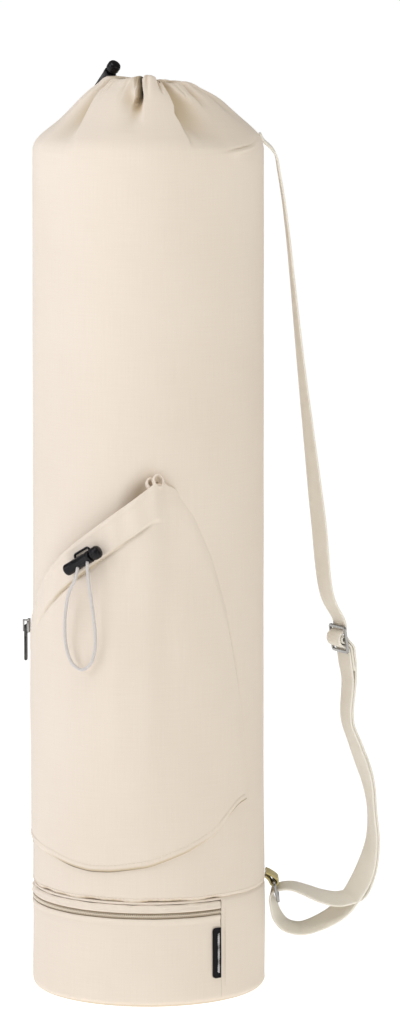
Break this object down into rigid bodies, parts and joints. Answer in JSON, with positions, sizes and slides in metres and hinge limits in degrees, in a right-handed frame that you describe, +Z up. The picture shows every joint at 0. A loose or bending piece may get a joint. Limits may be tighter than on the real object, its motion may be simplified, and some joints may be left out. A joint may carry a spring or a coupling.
{
  "type": "yoga mat bag",
  "caption": "Upright canvas tube bag for a rolled mat, with gathered drawcord top, slanted cord pocket, zipped lower compartment and webbing shoulder strap.",
  "frame": {"origin": "centre of the round underside, on the floor", "axes": "+Z up along the tube, -Y towards the front with the pocket, +X towards the shoulder strap"},
  "size_m": [0.2853, 0.2017, 0.731],
  "materials": {
    "canvas": "plain cotton canvas, matt",
    "webbing": "flat woven webbing, matt",
    "olive": "flat woven webbing, matt",
    "cord": "round braided cord",
    "plastic": "glossy, moulded",
    "zip": "nylon coil and tape",
    "label": "smooth woven tape",
    "metal": "plated, satin"
  },
  "bodies": {
    "root": {"bag_body": "canvas", "base_disc": "canvas", "divider_disc": "canvas", "compartment_front": "canvas", "compartment_back": "canvas", "zip_upper_strip": "canvas", "compartment_zip_coil": "zip", "compartment_zip_slider": "metal", "front_pocket": "canvas", "pocket_lock_barrel": "plastic", "pocket_eyelet": "plastic", "collar_lock_barrel": "plastic", "collar_eyelet": "plastic", "pocket_cord": "cord", "collar_cord": "cord", "side_zip_tape": "zip", "side_zip_coil": "zip", "side_zip_slider": "metal", "side_label": "label", "shoulder_strap": "webbing", "strap_slider": "metal", "strap_ring": "metal", "ring_tab": "olive"},
    "pocket_button": {"pocket_lock_button": "plastic"},
    "collar_button": {"collar_lock_button": "plastic"},
    "side_pull": {"side_zip_pull": "metal"}
  },
  "joints": [
    {"name": "pocket_button_slide", "type": "slide", "parent": "root", "child": "pocket_button", "axis": [-0.7497, 0.4156, -0.515], "range_m": [0, 0.0023], "stiffness_N_per_m": 300, "springref_m": -0.003},
    {"name": "collar_button_slide", "type": "slide", "parent": "root", "child": "collar_button", "axis": [-0.4515, 0.5381, -0.7118], "range_m": [0, 0.0023], "stiffness_N_per_m": 300, "springref_m": -0.003},
    {"name": "side_pull_hinge", "type": "hinge", "parent": "root", "child": "side_pull", "pos_m": [-0.0972, 0.01366, 0.2855], "axis": [0.1392, 0.9903, 0], "range_deg": [0, 150]}
  ]
}
